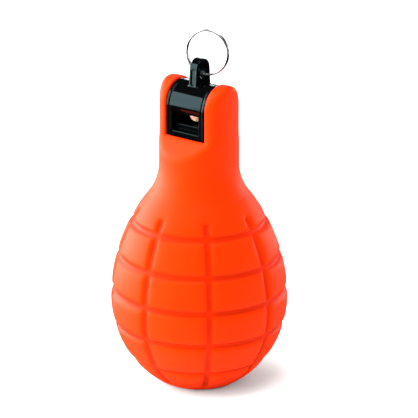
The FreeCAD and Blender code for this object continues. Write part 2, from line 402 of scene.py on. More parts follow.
def material(name):
    """New node material: (material, tree, Principled node, object coordinates)."""
    made = bpy.data.materials.new(name)
    made.use_nodes = True
    tree = made.node_tree
    shader = tree.nodes["Principled BSDF"]
    where = tree.nodes.new("ShaderNodeTexCoord").outputs["Object"]
    return made, tree, shader, where


def moulded_skin():
    """Shared group: fine grain and faint flow marks of a moulded surface."""
    if "moulded skin" in bpy.data.node_groups:
        return bpy.data.node_groups["moulded skin"]
    tree = bpy.data.node_groups.new("moulded skin", "ShaderNodeTree")
    tree.interface.new_socket("Position", in_out="INPUT", socket_type="NodeSocketVector")
    for label, value in (("Grain size", 0.0004), ("Grain depth", 0.2), ("Flow size", 0.02),
                         ("Roughness", 0.4), ("Roughness spread", 0.06)):
        float_input(tree, label, value)
    for label, kind in (("Roughness", "Float"), ("Flow", "Float"), ("Normal", "Vector")):
        tree.interface.new_socket(label, in_out="OUTPUT", socket_type="NodeSocket" + kind)
    given = tree.nodes.new("NodeGroupInput").outputs
    fine_scale = calc(tree, "DIVIDE", 1.0, given["Grain size"])
    flow_scale = calc(tree, "DIVIDE", 1.0, given["Flow size"])
    grain = noise_value(tree, given["Position"], fine_scale, 3.0, 0.6)
    flow = noise_value(tree, given["Position"], flow_scale)
    swing = calc(tree, "SUBTRACT", flow, 0.5)
    fine_swing = calc(tree, "MULTIPLY", calc(tree, "SUBTRACT", grain, 0.5), 0.5)
    both = calc(tree, "ADD", swing, fine_swing)
    rough = calc(tree, "MULTIPLY_ADD", both, given["Roughness spread"], given["Roughness"],
                 clamp=True)
    normal = bump_normal(tree, grain, given["Grain depth"], 0.1 * MM)
    put(tree, "NodeGroupOutput", {"Roughness": rough, "Flow": flow, "Normal": normal})
    return tree


def use_skin(tree, where, **values):
    """Places the shared group in a material with its own values; returns its outputs."""
    inputs = {label.replace("_", " ").capitalize(): value for label, value in values.items()}
    inputs["Position"] = where
    return put(tree, "ShaderNodeGroup", inputs, node_tree=moulded_skin()).outputs


# Colour that the rubber casts on its surroundings, calmer than its own.
CALM_BOUNCE = (0.30, 0.28, 0.27)


def orange_rubber(colours):
    """Satin soft rubber with painted shade that darkens the grooves, and a faint moulded grain.
    """
    made, tree, shader, where = material("satin_rubber")
    skin = use_skin(tree, where, grain_size=0.35 * MM, grain_depth=0.10, flow_size=24 * MM,
                    roughness=0.50, roughness_spread=0.08)
    groove = put(tree, "ShaderNodeAttribute", attribute_name="groove").outputs["Fac"]
    # Painted shade: the groove mask blends the rubber towards a darker tone in the grooves.
    groove_shade_mask = smooth_range(tree, groove, 0.25, 1.0)
    body = colour_mix(tree, groove_shade_mask, colours.rubber, colours.rubber_groove_shade)
    flow = smooth_range(tree, skin["Flow"], 0.3, 0.7, 0.97, 1.03)
    tint = put(tree, "ShaderNodeHueSaturation", {"Color": body, "Value": flow}).outputs[0]
    bounce = tree.nodes.new("ShaderNodeLightPath").outputs["Is Diffuse Ray"]
    calm = colour_mix(tree, calc(tree, "MULTIPLY", bounce, 0.85), tint, CALM_BOUNCE)
    feed(tree, shader, {"Base Color": calm, "Roughness": skin["Roughness"],
                        "Normal": skin["Normal"], "IOR": 1.5, "Specular IOR Level": 0.07,
                        "Specular Tint": (1.0, 0.75, 0.30, 1)})
    return made


def black_plastic(colours):
    """Glossy black moulded plastic with faint flow marks and handling haze."""
    made, tree, shader, where = material("gloss_plastic")
    skin = use_skin(tree, where, grain_size=0.6 * MM, grain_depth=0.012, flow_size=5 * MM,
                    roughness=0.07, roughness_spread=0.03)
    shade = colour_mix(tree, skin["Flow"], colours.plastic, [c * 1.6 for c in colours.plastic])
    feed(tree, shader, {"Base Color": shade, "Roughness": skin["Roughness"],
                        "Normal": skin["Normal"], "IOR": 1.52, "Specular IOR Level": 0.09,
                        "Specular Tint": (0.50, 0.93, 1.0, 1)})
    return made


def cork(colours):
    """Natural cork: a mottled tan body with darker pits."""
    made, tree, shader, where = material("natural_cork")
    mottle = noise_value(tree, where, 900.0, 5.0)
    pits = put(tree, "ShaderNodeTexVoronoi", {"Vector": where, "Scale": 700.0}).outputs[0]
    dark = calc(tree, "MULTIPLY", smooth_range(tree, pits, 0.45, 0.1),
                smooth_range(tree, mottle, 0.42, 0.6))
    body = colour_mix(tree, dark, colours.cork_light, colours.cork_dark)
    height = calc(tree, "SUBTRACT", mottle, dark)
    feed(tree, shader, {"Base Color": body, "Normal": bump_normal(tree, height, 0.5, 0.15 * MM),
                        "Roughness": smooth_range(tree, mottle, 0.3, 0.7, 0.7, 0.9)})
    return made


def polished_steel(colours):
    """Polished spring wire with fine drawing marks."""
    made, tree, shader, where = material("drawn_steel")
    marks = noise_value(tree, where, 2500.0, 3.0)
    tone = colour_mix(tree, smooth_range(tree, marks, 0.35, 0.65),
                      [c * 0.9 for c in colours.steel], colours.steel)
    feed(tree, shader, {"Base Color": tone, "Metallic": 1.0,
                        "Roughness": smooth_range(tree, marks, 0.3, 0.7, 0.22, 0.34),
                        "Normal": bump_normal(tree, marks, 0.05, 0.05 * MM)})
    return made


FINISHES = {"satin_rubber": orange_rubber, "gloss_plastic": black_plastic,
            "natural_cork": cork, "drawn_steel": polished_steel}


def finish_named(name):
    """A finish, made the first time that a piece asks for it."""
    if name in bpy.data.materials:
        return bpy.data.materials[name]
    return FINISHES[name](bpy.context.scene.finish_colours)


# ---- bulb: profile, fork and mesh ----

class BulbForm:
    """Outer and inner form of the bulb, from its sizes."""

    PER_HALF = 14            # columns from a groove to the middle of a pad
    CROWDING = 1.6           # how strongly the columns crowd towards a groove
    TURN_START = 72 * MM     # height where columns start to turn towards the slot's corners
    TURN_SPAN = 12 * MM      # height over which they turn
    RAMP_LEAD = 1.2 * MM     # plain neck rows end this far below the ramps
    CLIMB_START = 2 * MM     # the ears' edges start to grow this far below the ledge
    CLIMB_SPAN = 6 * MM      # and have their full round after this height

    def __init__(self, sizes):
        self.s = sizes
        self.high_x = BULB_HIGH.x - sizes.upper_arc
        self.low_x = BULB_HIGH.x - sizes.lower_arc
        span = sizes.upper_arc + sizes.neck_fillet
        self.fillet_x = sizes.neck_r + sizes.neck_fillet
        rise = math.sqrt(span ** 2 - (self.fillet_x - self.high_x) ** 2)
        self.shoulder = math.asin(rise / span)
        self.fillet_z = sizes.middle_z + rise
        reach = sizes.lower_arc - sizes.foot_corner
        fall = sizes.middle_z - sizes.foot_corner
        self.corner_x = self.low_x + math.sqrt(reach ** 2 - fall ** 2)
        self.corner_angle = -math.asin(fall / reach)
        half = 0.5 * (np.arange(self.PER_HALF + 1) / self.PER_HALF) ** self.CROWDING
        octant = np.concatenate([half, 1 - half[-2::-1]])[:-1]
        self.columns = np.concatenate([octant + k for k in range(8)])

    def side_point(self, angle, inset):
        """(radius, height) on the lower or upper side arc."""
        arc = self.s.lower_arc if angle < 0 else self.s.upper_arc
        centre_x = self.low_x if angle < 0 else self.high_x
        return (centre_x + (arc - inset) * math.cos(angle),
                self.s.middle_z + (arc - inset) * math.sin(angle))

    def side_angle(self, height):
        """Angle on the side arcs at a height."""
        arc = self.s.lower_arc if height < self.s.middle_z else self.s.upper_arc
        return math.asin((height - self.s.middle_z) / arc)

    def ring_heights(self):
        """Heights of the ring grooves, from the top one down."""
        return [self.s.ring_top - self.s.ring_pitch * k for k in range(self.s.ring_count)]

    def outline(self):
        """Outer (radius, height) rows from the middle of the foot to the top of the neck."""
        rows = [(self.corner_x * t, 0.0) for t in np.linspace(0, 1, 9)]
        for angle in np.linspace(-math.pi / 2, self.corner_angle, 7)[1:]:
            rows.append((self.corner_x + self.s.foot_corner * math.cos(angle),
                         self.s.foot_corner * (1 + math.sin(angle))))
        low = self.corner_angle
        stops = [self.side_angle(z) for z in reversed(self.ring_heights())]
        rows += self.stretch(low, stops[0], 14, dense_start=False)
        for a, b in zip(stops, stops[1:]):
            rows += self.stretch(a, b, 20)
        past_ends = self.side_angle(self.s.meridian_top + 2.5 * MM)
        rows += self.stretch(stops[-1], past_ends, 18, dense_end=False)
        rows += self.stretch(past_ends, self.shoulder, 5, False, False)
        for angle in np.linspace(self.shoulder, 0, 9)[1:]:
            rows.append((self.fillet_x - self.s.neck_fillet * math.cos(angle),
                         self.fillet_z - self.s.neck_fillet * math.sin(angle)))
        top = self.ramp_foot()
        rows += [(self.s.neck_r, z) for z in np.linspace(self.fillet_z, top, 6)[1:]]
        return rows

    def stretch(self, start, end, count, dense_start=True, dense_end=True):
        """Rows along the side arcs, closer together near ring grooves."""
        t = np.linspace(0, 1, count + 1)
        if dense_start and dense_end:
            t = np.where(t < 0.5, 0.5 * (2 * t) ** 1.5, 1 - 0.5 * (2 - 2 * t) ** 1.5)
        elif dense_start:
            t = t ** 1.3
        elif dense_end:
            t = 1 - (1 - t) ** 1.3
        return [self.side_point(start + (end - start) * v, 0.0) for v in t[1:]]

    def ramp_foot(self):
        """Height where the ramps under the slot's open sides start."""
        return LEDGE_Z - (self.s.neck_r - self.s.ear_depth) - self.RAMP_LEAD

    def angles(self, height):
        """Angle of every column; by the fork the odd ones run to the slot's corners."""
        corner = math.atan2(self.s.ear_depth, self.s.slot_half)
        blend = np.clip((height - self.TURN_START) / self.TURN_SPAN, 0, 1)
        blend = blend * blend * (3 - 2 * blend)
        shift = (corner - math.pi / 4) * blend
        return self.columns * math.pi / 4 + shift * np.sin(self.columns * math.pi / 2)

    def fork_field(self, x, y, z):
        """Field of the neck, its ears, the slot between them and the ramps."""
        s = self.s
        ramp = np.maximum((np.abs(y) - s.ear_depth - (LEDGE_Z - z)) / math.sqrt(2), z - LEDGE_Z)
        arch = arch_field(y, z, s.ear_depth, EAR_TOP_Z, -1.0)
        envelope = np.minimum(arch, ramp)
        climb = np.clip((z - LEDGE_Z + self.CLIMB_START) / self.CLIMB_SPAN, 0, 1)
        edge = s.ramp_round + (s.ear_round - s.ramp_round) * climb
        outer = round_and(np.hypot(x, y) - s.neck_r, envelope, edge)
        return round_and(outer, -self.slot_field(x, z), s.slot_round)

    def slot_field(self, x, z):
        """Field of the slot between the ears."""
        return np.maximum(np.abs(x) - self.s.slot_half, LEDGE_Z - z)

    def neck_row(self, height):
        """Outer contour of the neck below and at the ledge, ramps included."""
        angle = self.angles(height)
        half_depth = self.s.ear_depth + max(LEDGE_Z - height, 0)
        reach = half_depth / np.maximum(np.abs(np.sin(angle)), 1e-6)
        radius = np.minimum(self.s.neck_r, reach)
        return level(radius * np.cos(angle), radius * np.sin(angle), height)


PLUG_FIT = 0.05 * MM         # room between the plug and its bore
BORE_CORNER = 2.5 * MM       # round on the upright edges of the bore


def level(x, y, height):
    """Points that share one height, from their X and Y."""
    x, y = np.broadcast_arrays(x, y)
    return np.stack([x, y, np.full(x.shape, height)], axis=1)


def grid_faces(rows, columns, closed):
    """Quads of a grid of vertices, row by row."""
    faces = []
    for i in range(rows - 1):
        for j in range(columns if closed else columns - 1):
            k = (j + 1) % columns
            faces.append((i * columns + j, i * columns + k,
                          (i + 1) * columns + k, (i + 1) * columns + j))
    return faces


def bulb_mesh(sizes, plug_half):
    """Closed mesh of the bulb: outside, ears, slot, bore and air space, before its grooves."""
    form = BulbForm(sizes)
    n = 2 * form.PER_HALF
    count = 8 * n
    patches = []

    def patch(rows, closed=True):
        """Adds a grid of rows to the mesh."""
        rows = np.array(rows)
        patches.append((rows.reshape(-1, 3), grid_faces(rows.shape[0], rows.shape[1], closed)))

    def circle_row(radius, height):
        """One row of vertices round the axis."""
        angle = form.angles(height)
        return level(radius * np.cos(angle), radius * np.sin(angle), height)

    outside = [circle_row(r, z) for r, z in form.outline()]
    ramp_rows = [form.neck_row(z) for z in np.linspace(form.ramp_foot(), LEDGE_Z, 17)[1:]]
    ledge_row = ramp_rows[-1]
    patch(outside + ramp_rows)

    flat_top = EAR_TOP_Z - sizes.ear_depth
    levels = [(z, 0.0) for z in LEDGE_Z + (flat_top - LEDGE_Z) * np.linspace(0, 1, 18) ** 1.3]
    levels += [(flat_top, a) for a in np.linspace(0, math.pi / 2, 25)[1:]]
    corner_x = math.sqrt(sizes.neck_r ** 2 - sizes.ear_depth ** 2)
    across = np.concatenate([form.columns[:n] - 1, form.columns[:n + 1]])
    rim = ledge_row.copy()
    for side, first in ((1, -n), (-1, 3 * n)):
        where = np.arange(first, first + 2 * n + 1) % count
        base = ledge_row[where]
        rim[where, 0] = side * sizes.slot_half
        rim[where, 1] = side * sizes.ear_depth * across
        ear, wall = [], []
        for z, lift in levels:
            half_depth = sizes.ear_depth * math.cos(lift)
            height = z + sizes.ear_depth * math.sin(lift)
            y = base[:, 1] * math.cos(lift)
            end_x = math.sqrt(sizes.neck_r ** 2 - half_depth ** 2)
            share = (np.abs(base[:, 0]) - sizes.slot_half) / (corner_x - sizes.slot_half)
            on_flat = np.abs(base[:, 1]) > sizes.ear_depth - 1e-7
            x = np.where(on_flat, sizes.slot_half + share * (end_x - sizes.slot_half),
                         np.sqrt(np.maximum(sizes.neck_r ** 2 - y ** 2, 0)))
            x[0] = x[-1] = sizes.slot_half
            ear.append(level(side * x, y, height))
            wall.append(level(side * sizes.slot_half, side * half_depth * across, height))
        patch(ear, closed=False)
        patch(wall, closed=False)

    bore_x = plug_half + PLUG_FIT
    bore_y = HEAD_R + PLUG_FIT
    bore = rim * np.array([bore_x / sizes.slot_half, bore_y / sizes.ear_depth, 1.0])
    corner = BORE_CORNER
    pull = np.hypot(np.maximum(np.abs(bore[:, 0]) - bore_x + corner, 0),
                    np.maximum(np.abs(bore[:, 1]) - bore_y + corner, 0)) / corner
    pull = np.maximum(pull, 1.0)
    for axis, half in ((0, bore_x), (1, bore_y)):
        over = np.maximum(np.abs(bore[:, axis]) - half + corner, 0)
        bore[:, axis] -= np.sign(bore[:, axis]) * over * (1 - 1 / pull)
    inner = [rim * (1 - t) + bore * t for t in (0.0, 0.35, 1.0)]
    for z in (LEDGE_Z - 2 * MM, LEDGE_Z - 8 * MM, sizes.cavity_top):
        row = bore.copy()
        row[:, 2] = z
        inner.append(row)
    drop = form.fillet_z - sizes.cavity_top
    angle_top = math.asin(drop / (sizes.neck_fillet + sizes.wall))
    for angle in np.linspace(angle_top, form.shoulder, 5):
        radius = form.fillet_x - (sizes.neck_fillet + sizes.wall) * math.cos(angle)
        height = form.fillet_z - (sizes.neck_fillet + sizes.wall) * math.sin(angle)
        inner.append(circle_row(radius, height))
    for angle in np.linspace(form.shoulder, 0, 13)[1:]:
        inner.append(circle_row(*form.side_point(angle, sizes.wall)))
    for angle in np.linspace(-1e-6, form.corner_angle, 11)[1:]:
        inner.append(circle_row(*form.side_point(angle, sizes.wall)))
    small = sizes.foot_corner - sizes.wall
    for angle in np.linspace(form.corner_angle, -math.pi / 2, 4)[1:]:
        inner.append(circle_row(form.corner_x + small * math.cos(angle),
                                sizes.foot_corner + small * math.sin(angle)))
    inner += [circle_row(form.corner_x * t, sizes.wall) for t in np.linspace(1, 0, 6)[1:]]
    patch(inner)

    points, faces, start = [], [], 0
    for rows, quads in patches:
        points.append(rows)
        faces += [tuple(i + start for i in quad) for quad in quads]
        start += len(rows)
    points = np.concatenate(points)
    mesh = bpy.data.meshes.new("bulb")
    mesh.from_pydata(points.tolist(), [], faces)
    work = bmesh.new()
    work.from_mesh(mesh)
    bmesh.ops.remove_doubles(work, verts=work.verts, dist=2e-6)
    bmesh.ops.dissolve_degenerate(work, edges=work.edges, dist=1e-7)
    bmesh.ops.recalc_face_normals(work, faces=work.faces)
    settle_fork(work, form, plug_half)
    work.to_mesh(mesh)
    work.free()
    mesh.shade_smooth()
    return mesh


def settle_fork(work, form, plug_half):
    """Moves the fork's vertices onto its field, which rounds the edges."""
    low = form.ramp_foot() - 1 * MM
    edge_x, edge_y = plug_half + 2 * PLUG_FIT, HEAD_R + 2 * PLUG_FIT

    def in_bore(co):
        """True for a vertex of the bore, which keeps its place."""
        return abs(co.x) < edge_x and abs(co.y) < edge_y and co.z < LEDGE_Z + 1e-6

    chosen = [v for v in work.verts if v.co.z > low and not in_bore(v.co)]
    points = np.array([v.co[:] for v in chosen])
    points = settle(form.fork_field, points, 0.02 * MM, 12)
    for vertex, point in zip(chosen, points):
        vertex.co = point


def groove_tree(sizes, rubber):
    """Presses the ring and meridian grooves into the bulb and keeps their depth as a mask, from
    which the rubber paints shade into the grooves.
    """
    inputs = {"Groove half width": sizes.groove_half, "Groove floor": sizes.groove_floor,
              "Groove depth": sizes.groove_depth,
              "Pillow": sizes.pillow, "Pillow reach": sizes.pillow_reach,
              "Top ring": sizes.ring_top, "Ring pitch": sizes.ring_pitch,
              "Rings": float(sizes.ring_count), "Meridians": float(sizes.meridians),
              "Meridian top": sizes.meridian_top, "Meridian end": sizes.meridian_end}
    tree, entry, leave = geometry_tree("moulded grooves", inputs)
    given = entry.outputs
    place = put(tree, "ShaderNodeSeparateXYZ",
                [tree.nodes.new("GeometryNodeInputPosition").outputs[0]]).outputs
    normal = tree.nodes.new("GeometryNodeInputNormal").outputs[0]
    normal_z = put(tree, "ShaderNodeSeparateXYZ", [normal]).outputs[2]
    x, y, z = place

    radius = length_of(tree, x, y)
    angle = calc(tree, "ARCTAN2", y, x)
    sector = calc(tree, "DIVIDE", math.tau, given["Meridians"])
    nearest = calc(tree, "ROUND", calc(tree, "DIVIDE", angle, sector))
    off = calc(tree, "SUBTRACT", angle, calc(tree, "MULTIPLY", nearest, sector))
    beside = calc(tree, "ABSOLUTE", calc(tree, "MULTIPLY", radius, calc(tree, "SINE", off)))
    above = calc(tree, "MAXIMUM", calc(tree, "SUBTRACT", z, given["Meridian top"]), 0.0)
    below = calc(tree, "MAXIMUM", calc(tree, "SUBTRACT", given["Meridian end"], z), 0.0)
    past = calc(tree, "ADD", above, below)
    to_meridian = length_of(tree, beside, past)

    step = calc(tree, "DIVIDE", calc(tree, "SUBTRACT", given["Top ring"], z),
                given["Ring pitch"])
    last = calc(tree, "SUBTRACT", given["Rings"], 1.0)
    ring = calc(tree, "MINIMUM", calc(tree, "MAXIMUM", calc(tree, "ROUND", step), 0.0), last)
    rise = calc(tree, "MULTIPLY", calc(tree, "SUBTRACT", step, ring), given["Ring pitch"])
    upright = calc(tree, "SQRT", calc(tree, "SUBTRACT", 1.0,
                                      calc(tree, "MULTIPLY", normal_z, normal_z)))
    to_ring = calc(tree, "DIVIDE", calc(tree, "ABSOLUTE", rise),
                   calc(tree, "MAXIMUM", upright, 0.3))

    half, flat = given["Groove half width"], given["Groove floor"]
    ring_mask = smooth_range(tree, to_ring, half, flat)
    meridian_mask = smooth_range(tree, to_meridian, half, flat)
    left = calc(tree, "MULTIPLY", calc(tree, "SUBTRACT", 1.0, ring_mask),
                calc(tree, "SUBTRACT", 1.0, meridian_mask))
    groove = calc(tree, "SUBTRACT", 1.0, left)
    nearest_groove = calc(tree, "MINIMUM", to_ring, to_meridian)
    fall = smooth_range(tree, nearest_groove, given["Pillow reach"], 0.0)
    press = calc(tree, "ADD", calc(tree, "MULTIPLY", groove, given["Groove depth"]),
                 calc(tree, "MULTIPLY", fall, given["Pillow"]))
    is_outer = put(tree, "GeometryNodeInputNamedAttribute", {"Name": "outer"},
                   data_type="FLOAT").outputs["Attribute"]
    amount = calc(tree, "MULTIPLY", calc(tree, "MULTIPLY", press, -1.0), is_outer)
    shift = put(tree, "ShaderNodeVectorMath", {0: normal, "Scale": amount}, operation="SCALE")
    mask = calc(tree, "MULTIPLY", groove, is_outer)
    kept = put(tree, "GeometryNodeStoreNamedAttribute",
               {"Geometry": given["Geometry"], "Name": "groove", "Value": mask},
               data_type="FLOAT", domain="POINT")
    moved = put(tree, "GeometryNodeSetPosition", {"Geometry": kept.outputs[0],
                                                  "Offset": shift.outputs[0]})
    finish_tree(tree, moved.outputs[0], leave, rubber)
    return tree


GROOVE_FADE = 5 * MM         # the grooved zone fades out over this height below the neck


def mark_outer(mesh, sizes):
    """Marks the grooved outside: outward faces below the neck."""
    values = np.zeros(len(mesh.vertices), np.float32)
    for index, vertex in enumerate(mesh.vertices):
        radial = vertex.co.x * vertex.normal.x + vertex.co.y * vertex.normal.y
        outward = radial > 0 or (vertex.co.z < 0.5 * sizes.wall and vertex.normal.z < 0)
        if outward and vertex.co.z < sizes.cavity_top:
            values[index] = min(1.0, (sizes.cavity_top - vertex.co.z) / GROOVE_FADE)
    attribute = mesh.attributes.new("outer", "FLOAT", "POINT")
    attribute.data.foreach_set("value", values)


class WHISTLE_OT_bulb(bpy.types.Operator):
    """Build the soft bulb with its grooves and forked neck"""

    bl_idname = "whistle.bulb"
    bl_label = "Bulb"

    def execute(self, context):
        sizes = context.scene.bulb_sizes
        rubber = finish_named("satin_rubber")
        mesh = bulb_mesh(sizes, context.scene.whistle_sizes.plug_half)
        mark_outer(mesh, sizes)
        bulb = add_object("soft_bulb", mesh)
        baked(bulb, groove_tree(sizes, rubber), {"Groove half width": sizes.groove_half})
        register_piece(bulb, "whistle", "bulb_shell", rubber)
        return {"FINISHED"}


# ---- whistle moulding, cover, caps ----

def lug_field(x, y, z, s):
    """Blade with a half-round top, a cross hole and a recess in its front and back."""
    top = MOULDING_HIGH.z
    yc = y - RING_PIVOT.y
    centre_z = top - s.lug_depth
    spread = np.maximum(centre_z - z, 0) * 0.07
    flat = np.where(z > centre_z, np.hypot(yc, z - centre_z) - s.lug_depth,
                    np.abs(yc) - s.lug_depth - spread)
    blade = round_and(flat, np.abs(x) - s.lug_half, s.edge * 1.4)
    blade = np.maximum(blade, BARREL_Z - z)
    hole = np.hypot(yc, z - RING_PIVOT.z) - s.lug_hole
    blade = round_and(blade, -hole, s.edge)
    low, high = BARREL_Z + HEAD_R + 0.3 * MM, centre_z - 0.8 * MM
    slot = np.hypot(x, z - np.clip(z, low, high)) - s.recess_half
    pocket = np.maximum(slot, s.lug_depth + spread - s.recess_depth - np.abs(yc))
    return round_and(blade, -pocket, 0.15 * MM)


PAST = 2 * MM                # how far a cut runs past the surface that it opens


def moulding_field(s):
    """Field of the one-piece whistle moulding."""
    barrel_half = HEAD_HALF - s.cap_thick
    floor_z = BARREL_Z - s.chamber_r
    plug_low = (-s.plug_half, -HEAD_R, MOULDING_LOW.z)
    plug_high = (s.plug_half, HEAD_R, LEDGE_Z + 0.5 * MM)

    def field(x, y, z):
        arch = arch_field(y, z, HEAD_R, BARREL_Z + HEAD_R, LEDGE_Z)
        head = round_and(arch, np.abs(x) - barrel_half, s.edge * 0.7)
        plug = box_field(x, y, z, plug_low, plug_high, 0.8 * MM)
        body = np.minimum(head, plug)
        body = round_or(body, lug_field(x, y, z, s), 0.5 * MM)
        chamber = np.hypot(y, z - BARREL_Z) - s.chamber_r
        mouth = box_field(x, y, z, (-CHANNEL_HALF, -HEAD_R - PAST, floor_z),
                          (CHANNEL_HALF, -1 * MM, s.mouth_top))
        seat = box_field(x, y, z, (-CHANNEL_HALF, -HEAD_R - PAST, COVER_LOW.z),
                         (CHANNEL_HALF, COVER_HIGH.y, s.mouth_top))
        windway = box_field(x, y, z, (-CHANNEL_HALF, COVER_HIGH.y - 1 * MM, s.plug_roof - PAST),
                            (CHANNEL_HALF, s.block_y, floor_z + 1 * MM))
        inner_x = s.plug_half - s.plug_wall
        hollow = box_field(x, y, z, (-inner_x, COVER_HIGH.y, MOULDING_LOW.z - PAST),
                           (inner_x, HEAD_R - s.plug_wall, s.plug_roof))
        run = s.labium_root - s.mouth_top
        lean = s.labium_y + HEAD_R
        ramp = ((y - s.labium_y) * run + (z - s.mouth_top) * lean) / math.hypot(run, lean)
        ramp = np.maximum(np.maximum(ramp, np.abs(x) - CHANNEL_HALF), s.mouth_top - z - 0.2 * MM)
        ramp = np.maximum(ramp, z - s.labium_root - 0.5 * MM)
        cut = np.minimum(np.minimum(np.minimum(chamber, mouth), np.minimum(seat, windway)),
                         np.minimum(hollow, ramp))
        return round_and(body, -cut, s.edge * 0.6)

    return field


def cap_field(side, s):
    """Field of an arched end cap with a spigot into the chamber."""
    inner = HEAD_HALF - s.cap_thick
    spigot_end = CAP_LOW.x

    def field(x, y, z):
        out = side * x
        arch = arch_field(y, z, HEAD_R, BARREL_Z + HEAD_R, LEDGE_Z)
        plate = round_and(arch, np.maximum(out - HEAD_HALF, inner - out), s.cap_edge)
        dish = np.hypot(y, z - BARREL_Z) - 0.62 * HEAD_R
        plate = round_and(plate, -np.maximum(dish, HEAD_HALF - 0.5 * MM - out), 0.3 * MM)
        spigot = np.hypot(y, z - BARREL_Z) - s.chamber_r + 0.05 * MM
        spigot = np.maximum(spigot, np.maximum(spigot_end - out, out - inner - 0.4 * MM))
        return np.minimum(plate, spigot)

    return field


class WHISTLE_OT_moulding(bpy.types.Operator):
    """Build the whistle moulding with its chamber, mouth, windway, plug and lug"""

    bl_idname = "whistle.moulding"
    bl_label = "Whistle moulding"

    def execute(self, context):
        sizes = context.scene.whistle_sizes
        low = (-HEAD_HALF, MOULDING_LOW.y, MOULDING_LOW.z)
        high = (HEAD_HALF, MOULDING_HIGH.y, MOULDING_HIGH.z)
        mesh = carve("moulding", moulding_field(sizes), low, high, 0.27 * MM)
        piece = add_object("whistle_moulding", mesh)
        register_piece(piece, "whistle", "whistle_body",
                       finish_named("gloss_plastic"))
        return {"FINISHED"}


class WHISTLE_OT_caps(bpy.types.Operator):
    """Build the two end caps of the sound chamber"""

    bl_idname = "whistle.caps"
    bl_label = "End caps"

    def execute(self, context):
        sizes = context.scene.whistle_sizes
        for side, node in ((-1, "left_end_cap"), (1, "right_end_cap")):
            low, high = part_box(node)
            mesh = carve(node, cap_field(side, sizes), low, high, 0.24 * MM)
            piece = add_object("arched_" + node, mesh)
            register_piece(piece, "whistle", node,
                           finish_named("gloss_plastic"))
        return {"FINISHED"}


class WHISTLE_OT_cover(bpy.types.Operator):
    """Build the plate that closes the front of the windway"""

    bl_idname = "whistle.cover"
    bl_label = "Windway cover"

    def execute(self, context):
        def field(x, y, z):
            return box_field(x, y, z, COVER_LOW, COVER_HIGH, 0.18 * MM)

        mesh = carve("cover", field, COVER_LOW, COVER_HIGH, 0.16 * MM)
        piece = add_object("windway_plate", mesh)
        register_piece(piece, "whistle", "windway_cover",
                       finish_named("gloss_plastic"))
        return {"FINISHED"}


class WHISTLE_OT_pea(bpy.types.Operator):
    """Build the cork pea"""

    bl_idname = "whistle.pea"
    bl_label = "Pea"

    def execute(self, context):
        centre = (PEA_LOW + PEA_HIGH) / 2
        radius = (PEA_HIGH.x - PEA_LOW.x) / 2
        work = bmesh.new()
        bmesh.ops.create_icosphere(work, subdivisions=6, radius=1.0)
        for vertex in work.verts:
            way = vertex.co.normalized()
            lumps = noise.noise(way * 2.5) * 0.012
            pit = max(noise.noise(way * 9.0 + Vector((5, 3, 1))) - 0.25, 0) * 0.10
            vertex.co = centre + way * radius * (0.985 + lumps - pit)
        mesh = bpy.data.meshes.new("pea")
        work.to_mesh(mesh)
        work.free()
        mesh.shade_smooth()
        piece = add_object("cork_pea", mesh)
        register_piece(piece, "pea", "pea", finish_named("natural_cork"))
        return {"FINISHED"}


# ---- split ring ----

def wire_tree(sizes, steel):
    """Two close turns of wire with a short crank where one turn steps beside the other."""
    inputs = {"Ring radius": sizes.radius, "Wire radius": sizes.wire, "Pitch": sizes.pitch,
              "Turns": sizes.turns, "Crank start": 0.42, "Crank end": 0.58}
    tree, entry, leave = geometry_tree("split ring wire", inputs)
    given = entry.outputs
    coil = put(tree, "GeometryNodeCurveSpiral", {"Resolution": 96, "Rotations": given["Turns"],
                                                 "Start Radius": given["Ring radius"],
                                                 "End Radius": given["Ring radius"],
                                                 "Height": 0.0})
    along = put(tree, "GeometryNodeSplineParameter").outputs["Factor"]
    layer = smooth_range(tree, along, given["Crank start"], given["Crank end"], -0.5, 0.5)
    offset = put(tree, "ShaderNodeCombineXYZ",
                 {"Z": calc(tree, "MULTIPLY", layer, given["Pitch"])}).outputs[0]
    stepped = put(tree, "GeometryNodeSetPosition", {"Geometry": coil.outputs[0],
                                                    "Offset": offset})
    section = put(tree, "GeometryNodeCurvePrimitiveCircle", {"Resolution": 20,
                                                             "Radius": given["Wire radius"]})
    wire = put(tree, "GeometryNodeCurveToMesh", {"Curve": stepped.outputs[0],
                                                 "Profile Curve": section.outputs[0],
                                                 "Fill Caps": True})
    finish_tree(tree, wire.outputs[0], leave, steel)
    return tree


class WHISTLE_OT_ring(bpy.types.Operator):
    """Build the split ring through the lug"""

    bl_idname = "whistle.ring"
    bl_label = "Split ring"

    def execute(self, context):
        sizes = context.scene.ring_sizes
        steel = finish_named("drawn_steel")
        ring = add_object("steel_split_ring", bpy.data.meshes.new("ring"))
        baked(ring, wire_tree(sizes, steel), {"Turns": sizes.turns})
        stand = (Matrix.Translation(RING_PIVOT) @ Matrix.Rotation(sizes.yaw, 4, "Z")
                 @ Matrix.Rotation(-sizes.lean, 4, "X") @ Matrix.Rotation(sizes.roll, 4, "Y")
                 @ Matrix.Translation((0, 0, sizes.radius)) @ Matrix.Rotation(sizes.start, 4, "Y")
                 @ Matrix.Rotation(math.pi / 2, 4, "X"))
        ring.data.transform(stand)
        ring.data.shade_smooth()
        register_piece(ring, "split_ring", "split_ring", steel)
        return {"FINISHED"}


# ---- studio ----

# Soft lights: name, azimuth, elevation, distance, width, height, watts, and what they reach.
LIGHTS = (("key_softbox", -70, 15, 0.9, 1.3, 1.0, 27.0, "all"),
          ("top_softbox", 15, 74, 1.1, 0.7, 0.7, 11.5, "all"),
          ("key_gleam", -70, 15, 0.93, 1.34, 1.03, 30.0, "gloss"),
          ("side_gleam", -82, -2, 0.9, 0.8, 0.7, 8.0, "gloss"),
          ("back_gleam", 172, 0, 1.1, 0.4, 0.4, 5.5, "gloss"),
          ("left_fill", -35, 5, 1.0, 0.8, 0.2, 10.0, "matt"),
          ("far_fill", 150, 5, 1.0, 0.6, 0.2, 6.0, "matt"),
          ("back_strip", -142, 20, 1.0, 0.05, 0.5, 0.5, "all"))


